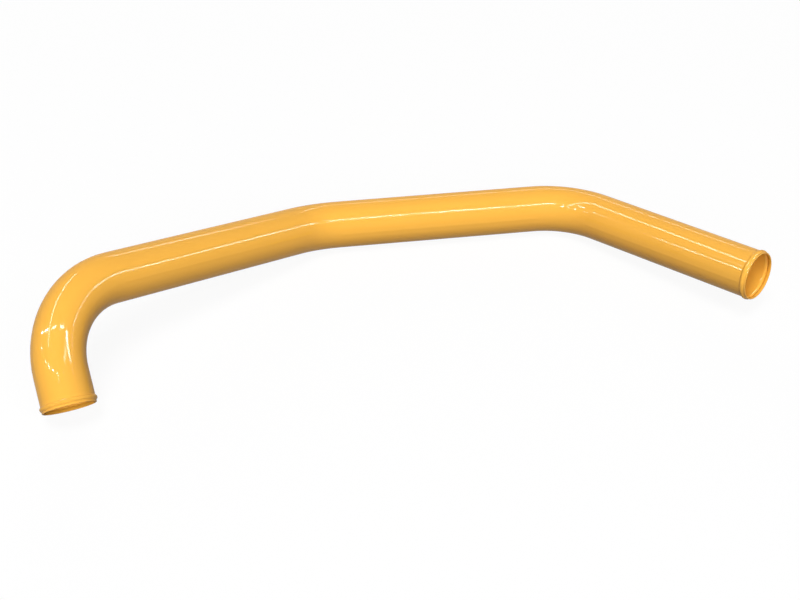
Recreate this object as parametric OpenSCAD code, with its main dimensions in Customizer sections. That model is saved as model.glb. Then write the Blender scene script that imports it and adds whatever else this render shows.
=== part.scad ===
// Aftercooler air tube: one length of steel tube with three bends and a rolled hose bead at each mouth.
// It lies as it comes to rest. The floor run lies along X on Z = 0, and the lip of the short leg
// touches the floor too. The origin is under the middle of the part's bounding box.

/* [Tube] */
// Outside diameter of the tube
tube_od = 76.2; // [60:0.1:102]
// Thickness of the wall
wall_t = 2.1; // [1.2:0.1:2.6]

/* [Straight runs] */
// Short leg, from its mouth to where the first bend starts
leg_len = 50; // [25:1:90]
// Long run between the first and second bends
long_len = 355; // [250:1:450]
// Floor run between the second and third bends
floor_len = 328; // [230:1:420]
// End run, from where the third bend ends to its mouth
end_len = 303; // [150:1:400]

/* [Bends] */
// Centreline radius of every bend
bend_r = 127; // [110:1:160]
// Turn between the short leg and the long run, in degrees
leg_bend = 83.5; // [70:0.5:95]
// Turn between the long run and the floor run, in degrees
knee_bend = 36; // [25:0.5:50]
// Turn between the floor run and the end run, in degrees
end_bend = 54; // [40:0.5:70]
// Twist about the long run from the second bend's plane to the first's, in degrees
leg_twist = -64.5; // [-85:0.5:-45]
// Twist about the floor run from the third bend's plane to the second's, in degrees
knee_twist = 13.5; // [0:0.5:30]

/* [Mouths] */
// How far the bead's crest stands proud of the tube
bead_h = 2; // [1:0.1:2.5]
// Radius of the bead's rounded section
bead_r = 3.8; // [3:0.1:5]
// Radius of the fillet on each side of the bead
bead_fillet_r = 1.5; // [0.8:0.1:3]
// Bead's crest to the mouth's edge
bead_setback = 6.5; // [6:0.1:12]
// Chamfer left on the mouth's edges by deburring
edge_chamfer = 0.4; // [0.2:0.1:0.6]

/* [Hidden] */
$fn = 128;

paint = [0.97, 0.68, 0.22];

tube_r = tube_od / 2;
bore_r = tube_r - wall_t;

// Section of a mouth
bead_ring_r = tube_r + bead_h - bead_r;
fillet_ring_r = tube_r + bead_fillet_r;
bead_half = sqrt(pow(bead_r + bead_fillet_r, 2) - pow(fillet_ring_r - bead_ring_r, 2));
mouth_len = bead_setback + bead_half + bead_fillet_r;
overrun = wall_t;

// The bead's section overlaps its fillets by a hair, so that they meet along one clean edge
bead_lap = 0.001;

// The pieces meet exactly, end to end. They are joined at metre size, where the rounding of a turned frame
// is too small to leave a gap or a step at a joint, and the joined tube is brought back to millimetres.
metre = 1000;

// The bends on each side of the floor run, going outwards: twist, bend, length of the run after it
leg_side = [[knee_twist, knee_bend, long_len], [leg_twist, leg_bend, leg_len]];
end_side = [[0, end_bend, end_len]];

// A frame is [point on the centreline, direction a bend turns towards, heading]
function twisted(f, angle) = [f[0], cos(angle) * f[1] + sin(angle) * cross(f[2], f[1]), f[2]];
function moved(f, length) = [f[0] + length * f[2], f[1], f[2]];
function bent(f, angle) = [
    f[0] + bend_r * ((1 - cos(angle)) * f[1] + sin(angle) * f[2]),
    cos(angle) * f[1] - sin(angle) * f[2],
    cos(angle) * f[2] + sin(angle) * f[1]
];

// Frames at one side's start, along its bends and at its mouth
arc_parts = 90;
function path(f, side, i = 0) =
    i == len(side) ? [f] :
    let (turned = twisted(f, side[i][0]))
    concat(
        [for (k = [0 : arc_parts]) bent(turned, side[i][1] * k / arc_parts)],
        path(moved(bent(turned, side[i][1]), side[i][2]), side, i + 1)
    );
function leg_path(roll) = path([[-floor_len / 2, 0, tube_r], [0, cos(roll), sin(roll)], [-1, 0, 0]], leg_side);
function end_path(roll) = path([[floor_len / 2, 0, tube_r], [0, cos(roll), sin(roll)], [1, 0, 0]], end_side);
function last(list) = list[len(list) - 1];

// How far a circle about the centreline, and a whole mouth, reach in a direction
function circle_reach(f, r, dir) = f[0] * dir + r * sqrt(max(0, 1 - pow(f[2] * dir, 2)));
function mouth_reach(f, dir) = max(
    circle_reach(f, tube_r - edge_chamfer, dir),
    circle_reach(moved(f, -edge_chamfer), tube_r, dir),
    circle_reach(moved(f, -bead_setback), bead_ring_r, dir) + bead_r
);
function side_reach(frames, dir) = max(mouth_reach(last(frames), dir), max([for (f = frames) circle_reach(f, tube_r, dir)]));

// The tube rolls about its floor run until the short leg's mouth comes down to the floor
roll_steps = 40;
function settled(high, low, steps) =
    let (mid = (high + low) / 2)
    steps == 0 ? mid :
    mouth_reach(last(leg_path(mid)), [0, 0, -1]) < 0 ? settled(mid, low, steps - 1) : settled(high, mid, steps - 1);
rest_roll = settled(90, 270, roll_steps);

// Middle of the bounding box, seen from above
function reach(dir) = max(side_reach(leg_path(rest_roll), dir), side_reach(end_path(rest_roll), dir));
middle = [reach([1, 0, 0]) - reach([-1, 0, 0]), reach([0, 1, 0]) - reach([0, -1, 0]), 0] / 2;

// Cross-section of the wall
module wall_ring() {
    difference() {
        circle(r = tube_r);
        circle(r = bore_r);
    }
}

// Moves along a frame's axes, at metre size
module shifted(by) {
    translate(by / metre) children();
}

// A straight run along Z
module run(from, to) {
    scale(1 / metre) translate([0, 0, from]) linear_extrude(to - from) wall_ring();
}

// A bend that starts along Z and turns towards X
module bend(angle) {
    scale(1 / metre) translate([bend_r, 0, 0]) rotate([90, 0, 180])
        rotate_extrude(angle = angle) translate([bend_r, 0]) wall_ring();
}

// Moves to the end of a bend that starts along Z and turns towards X
module after_bend(angle) {
    shifted([bend_r, 0, 0]) rotate([0, angle, 0]) shifted([-bend_r, 0, 0]) children();
}

// Half the outline of a mouth, sunk by inset: the bulge of the bead blends into the tube with a fillet each side
module mouth_outline(inset, beyond = 0) {
    translate([0, -beyond]) square([tube_r - inset, mouth_len + 2 * beyond]);
    translate([0, mouth_len - bead_setback]) {
        translate([bead_ring_r, 0]) circle(r = bead_r - inset + bead_lap);
        difference() {
            polygon([
                [0, -bead_half], [fillet_ring_r, -bead_half], [bead_ring_r, 0],
                [fillet_ring_r, bead_half], [0, bead_half]
            ]);
            for (side = [-1, 1]) translate([fillet_ring_r, side * bead_half]) circle(r = bead_fillet_r + inset);
        }
    }
}

// The last stretch before a mouth, heading along Z, with the bead rolled out of the wall
module mouth() {
    scale(1 / metre) rotate_extrude() difference() {
        mouth_outline(0);
        mouth_outline(wall_t, overrun);
        for (edge_r = [bore_r, tube_r])
            translate([edge_r, mouth_len]) rotate(45) square(edge_chamfer * sqrt(2), center = true);
    }
}

// What follows a frame on one side: twist, bend and run, then the next step or the mouth
module onward(side, i = 0) {
    rotate([0, 0, side[i][0]]) {
        bend(side[i][1]);
        after_bend(side[i][1]) {
            if (i < len(side) - 1) {
                run(0, side[i][2]);
                shifted([0, 0, side[i][2]]) onward(side, i + 1);
            } else {
                run(0, side[i][2] - mouth_len);
                shifted([0, 0, side[i][2] - mouth_len]) mouth();
            }
        }
    }
}

module air_tube() {
    color(paint)
        translate([0, 0, tube_r] - middle) scale(metre) rotate([90, 0, 90]) rotate([0, 0, rest_roll]) {
            run(-floor_len / 2, floor_len / 2);
            shifted([0, 0, floor_len / 2]) onward(end_side);
            shifted([0, 0, -floor_len / 2]) rotate([180, 0, 0]) onward(leg_side);
        }
}

air_tube();
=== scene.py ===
"""Looks of the aftercooler air tube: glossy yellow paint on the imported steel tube, lying on a pale studio floor.

Lengths are in metres and angles in degrees. An azimuth is measured from +Y towards +X, an elevation from the floor.
"""

import math

import bpy
from mathutils import Matrix, Vector

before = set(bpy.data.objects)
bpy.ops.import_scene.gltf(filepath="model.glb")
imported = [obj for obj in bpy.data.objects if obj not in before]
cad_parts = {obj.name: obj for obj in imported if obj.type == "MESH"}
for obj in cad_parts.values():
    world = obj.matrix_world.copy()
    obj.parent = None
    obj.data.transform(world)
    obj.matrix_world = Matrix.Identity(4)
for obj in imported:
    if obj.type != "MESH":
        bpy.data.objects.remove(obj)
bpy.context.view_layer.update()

TUBE = "air_tube"
WHITE = (1.0, 1.0, 1.0, 1.0)

# ---- Camera ---------------------------------------------------------------------------------------------------------

CAMERA_AT = (-0.3126, -1.6759, 1.2353)
CAMERA_AZIMUTH = 10.18
CAMERA_DOWN = 35.68
CAMERA_ROLL = 0.85
LENS_MM = 60.39
SENSOR_MM = 36.0


def add_camera():
    """The photograph's viewpoint: in front and above, a little left of the tube's middle."""
    data = bpy.data.cameras.new("camera")
    data.sensor_fit = "HORIZONTAL"
    data.sensor_width = SENSOR_MM
    data.lens = LENS_MM
    camera = bpy.data.objects.new("camera", data)
    bpy.context.scene.collection.objects.link(camera)
    turn = (
        Matrix.Rotation(math.radians(-CAMERA_AZIMUTH), 4, "Z")
        @ Matrix.Rotation(math.radians(90 - CAMERA_DOWN), 4, "X")
        @ Matrix.Rotation(math.radians(CAMERA_ROLL), 4, "Z")
    )
    camera.matrix_world = Matrix.Translation(CAMERA_AT) @ turn
    bpy.context.scene.camera = camera


# ---- Node helpers ---------------------------------------------------------------------------------------------------


def new_material(name):
    """An empty node material and its output node."""
    material = bpy.data.materials.new(name)
    material.use_nodes = True
    material.node_tree.nodes.clear()
    return material, material.node_tree.nodes.new("ShaderNodeOutputMaterial")


def add_node(tree, kind, inputs=None, **settings):
    """A node with its settings, and its inputs set or linked by name."""
    node = tree.nodes.new(kind)
    for key, value in settings.items():
        setattr(node, key, value)
    for key, value in (inputs or {}).items():
        if isinstance(value, bpy.types.NodeSocket):
            tree.links.new(value, node.inputs[key])
        else:
            node.inputs[key].default_value = value
    return node


def seen_by_eye(tree):
    """1 for rays from the camera, from a mirror-like surface or through glass, and 0 for those that carry light."""
    path = add_node(tree, "ShaderNodeLightPath")
    level = path.outputs["Is Camera Ray"]
    for ray in ("Is Glossy Ray", "Is Transmission Ray"):
        level = add_node(tree, "ShaderNodeMath", {0: level, 1: path.outputs[ray]}, operation="MAXIMUM").outputs["Value"]
    return level


# ---- Paint ----------------------------------------------------------------------------------------------------------

PAINT = (0.93, 0.465, 0.062)
PAINT_DEEP = (0.91, 0.45, 0.056)
CLOUD_SIZE = 0.09
CLOUD_DETAIL = 3.0
PAINT_ROUGHNESS = (0.40, 0.48)
COAT = 0.35
COAT_ROUGHNESS = 0.07


def paint_material():
    """Glossy enamel: slightly uneven cover and a clear skin that mirrors the lamps."""
    material, output = new_material("yellow_enamel")
    tree = material.node_tree
    place = add_node(tree, "ShaderNodeTexCoord").outputs["Object"]
    clouds = add_node(
        tree, "ShaderNodeTexNoise", {"Vector": place, "Scale": 1 / CLOUD_SIZE, "Detail": CLOUD_DETAIL}
    )
    colour = add_node(tree, "ShaderNodeMix", {"Factor": clouds.outputs["Fac"]}, data_type="RGBA")
    colour.inputs["A"].default_value = (*PAINT, 1.0)
    colour.inputs["B"].default_value = (*PAINT_DEEP, 1.0)
    rough = add_node(
        tree,
        "ShaderNodeMapRange",
        {"Value": clouds.outputs["Fac"], "To Min": PAINT_ROUGHNESS[0], "To Max": PAINT_ROUGHNESS[1]},
    )
    shader = add_node(
        tree,
        "ShaderNodeBsdfPrincipled",
        {
            "Base Color": colour.outputs["Result"],
            "Roughness": rough.outputs["Result"],
            "Specular IOR Level": 0.0,
            "Coat Weight": COAT,
            "Coat Roughness": COAT_ROUGHNESS,
        },
    )
    tree.links.new(shader.outputs["BSDF"], output.inputs["Surface"])
    return material


def paint_tube():
    """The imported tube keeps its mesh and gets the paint."""
    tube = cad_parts[TUBE]
    tube.data.materials.clear()
    tube.data.materials.append(paint_material())


# ---- Studio ---------------------------------------------------------------------------------------------------------

FLOOR_SIDE = 60.0
FLOOR_BOUNCE = 0.06
FLOOR_SEEN = 0.95
FLOOR_LIFT = 0.92
AMBIENT = 0.01
SOFT_DISTANCE = 12.0
SOFT_SIDE = 5.0
CEILING = 12.8
BOOM = 0.8
TARGET = Vector((0.0, 0.0, 0.08))

# Soft lamps, for the shading: azimuth, elevation, and how bright each makes a white card that faces it
SOFT_LAMPS = {
    "soft_high": (-150.0, 68.0, 0.62),
    "soft_right": (150.0, 40.0, 0.22),
    "soft_left": (-155.0, 25.0, 0.32),
    "soft_front": (180.0, 24.0, 0.29),
    "soft_back": (0.0, 13.0, 0.33),
}

# Thin lamps, for the lines of light that the paint mirrors: height above TARGET, the two ends, the width and the
# brightness. The ends are (x, y) from the spot straight above TARGET. They and the width are in multiples of the
# height. The elbow mirrors the short lamps as two rows of dashes, one nearer to the long run and one farther from it.
LINES = {
    "line_left": (CEILING, (-0.32, 1.06), (-0.68, -0.37), 0.06, 29.0),
    "line_front": (BOOM, (0.66, -0.58), (0.02, -0.48), 0.06, 62.0),
    "line_back": (CEILING, (0.15, 1.95), (0.65, 1.62), 0.09, 13.0),
    "line_right": (BOOM, (1.075, -0.35), (1.87, 0.22), 0.09, 44.0),
    "line_right_short": (CEILING, (0.50, -0.55), (0.75, -0.41), 0.04, 25.0),
    "line_far_left": (CEILING, (-1.87, 0.01), (-1.79, -0.145), 0.07, 65.0),
    "near_1": (CEILING, (-1.70, 0.37), (-1.40, 0.24), 0.05, 150.0),
    "near_2": (CEILING, (-1.05, 0.08), (-0.74, -0.04), 0.04, 110.0),
    "near_3": (BOOM, (-1.05, -0.295), (-0.73, -0.355), 0.035, 60.0),
    "near_4": (BOOM, (-0.48, -0.41), (-0.21, -0.435), 0.035, 60.0),
    "far_1": (CEILING, (-1.48, -0.58), (-1.30, -0.62), 0.04, 120.0),
    "far_2": (CEILING, (-1.08, -0.70), (-0.95, -0.73), 0.04, 120.0),
    "far_3": (CEILING, (-0.72, -0.78), (-0.58, -0.80), 0.03, 110.0),
    "far_4": (BOOM, (-0.95, -1.05), (-0.83, -1.03), 0.012, 70.0),
    "far_5": (BOOM, (-0.32, -0.92), (-0.29, -0.92), 0.012, 30.0),
}


def direction(azimuth, elevation):
    """Unit vector towards an azimuth and elevation."""
    a, e = math.radians(azimuth), math.radians(elevation)
    return Vector((math.sin(a) * math.cos(e), math.cos(a) * math.cos(e), math.sin(e)))


def add_lamp(name, place, along, length, width):
    """A rectangular lamp that faces the tube, with its long side along a direction; its energy is set by the caller."""
    data = bpy.data.lights.new(name, "AREA")
    data.shape = "RECTANGLE"
    data.size = length
    data.size_y = width
    lamp = bpy.data.objects.new(name, data)
    bpy.context.scene.collection.objects.link(lamp)
    along = along.normalized()
    back = place - TARGET
    back = (back - along * back.dot(along)).normalized()
    turn = Matrix((along, back.cross(along), back)).transposed().to_4x4()
    lamp.matrix_world = Matrix.Translation(place) @ turn
    lamp.visible_camera = False
    return lamp


def add_soft_lamp(name, azimuth, elevation, level):
    """A large lamp for the shading alone; the paint doesn't mirror it."""
    towards = direction(azimuth, elevation)
    level_side = towards.cross(Vector((0, 0, 1)))
    lamp = add_lamp(name, TARGET + SOFT_DISTANCE * towards, level_side, SOFT_SIDE, SOFT_SIDE)
    lamp.data.energy = level * math.pi**2 * SOFT_DISTANCE**2
    lamp.visible_glossy = False


def add_line(name, height, start, end, width, brightness):
    """A thin lamp for the lines of light on the paint alone; it adds nothing to the shading."""
    a, b = (TARGET + height * Vector((*spot, 1.0)) for spot in (start, end))
    lamp = add_lamp(name, (a + b) / 2, b - a, (b - a).length, width * height)
    lamp.data.energy = brightness * math.pi * lamp.data.size * lamp.data.size_y
    lamp.visible_diffuse = False


def floor_material():
    """Pale floor that looks white to the eye and in reflections, keeps a faint shadow and throws little light back."""
    material, output = new_material("studio_floor")
    tree = material.node_tree
    seen = seen_by_eye(tree)
    tone = add_node(tree, "ShaderNodeMapRange", {"Value": seen, "To Min": FLOOR_BOUNCE, "To Max": FLOOR_SEEN})
    share = add_node(tree, "ShaderNodeMath", {0: seen, 1: FLOOR_LIFT}, operation="MULTIPLY")
    matt = add_node(tree, "ShaderNodeBsdfDiffuse", {"Color": tone.outputs["Result"]})
    white = add_node(tree, "ShaderNodeEmission", {"Color": WHITE, "Strength": 1.0})
    mix = add_node(
        tree,
        "ShaderNodeMixShader",
        {"Fac": share.outputs["Value"], 1: matt.outputs["BSDF"], 2: white.outputs["Emission"]},
    )
    tree.links.new(mix.outputs["Shader"], output.inputs["Surface"])
    return material


def add_floor():
    """A square floor at the tube's lowest point."""
    half = FLOOR_SIDE / 2
    mesh = bpy.data.meshes.new("studio_floor")
    mesh.from_pydata([(-half, -half, 0), (half, -half, 0), (half, half, 0), (-half, half, 0)], [], [(0, 1, 2, 3)])
    floor = bpy.data.objects.new("studio_floor", mesh)
    bpy.context.scene.collection.objects.link(floor)
    mesh.materials.append(floor_material())


def add_world():
    """A little even light from all round; the world looks white to the eye and in reflections."""
    world = bpy.data.worlds.new("studio")
    bpy.context.scene.world = world
    world.use_nodes = True
    tree = world.node_tree
    tree.nodes.clear()
    level = add_node(tree, "ShaderNodeMapRange", {"Value": seen_by_eye(tree), "To Min": AMBIENT, "To Max": 1.0})
    light = add_node(tree, "ShaderNodeBackground", {"Color": WHITE, "Strength": level.outputs["Result"]})
    output = add_node(tree, "ShaderNodeOutputWorld")
    tree.links.new(light.outputs["Background"], output.inputs["Surface"])


# ---- Scene ----------------------------------------------------------------------------------------------------------

bpy.context.scene.view_settings.view_transform = "Standard"
add_camera()
paint_tube()
add_floor()
add_world()
for name, lamp in SOFT_LAMPS.items():
    add_soft_lamp(name, *lamp)
for name, line in LINES.items():
    add_line(name, *line)
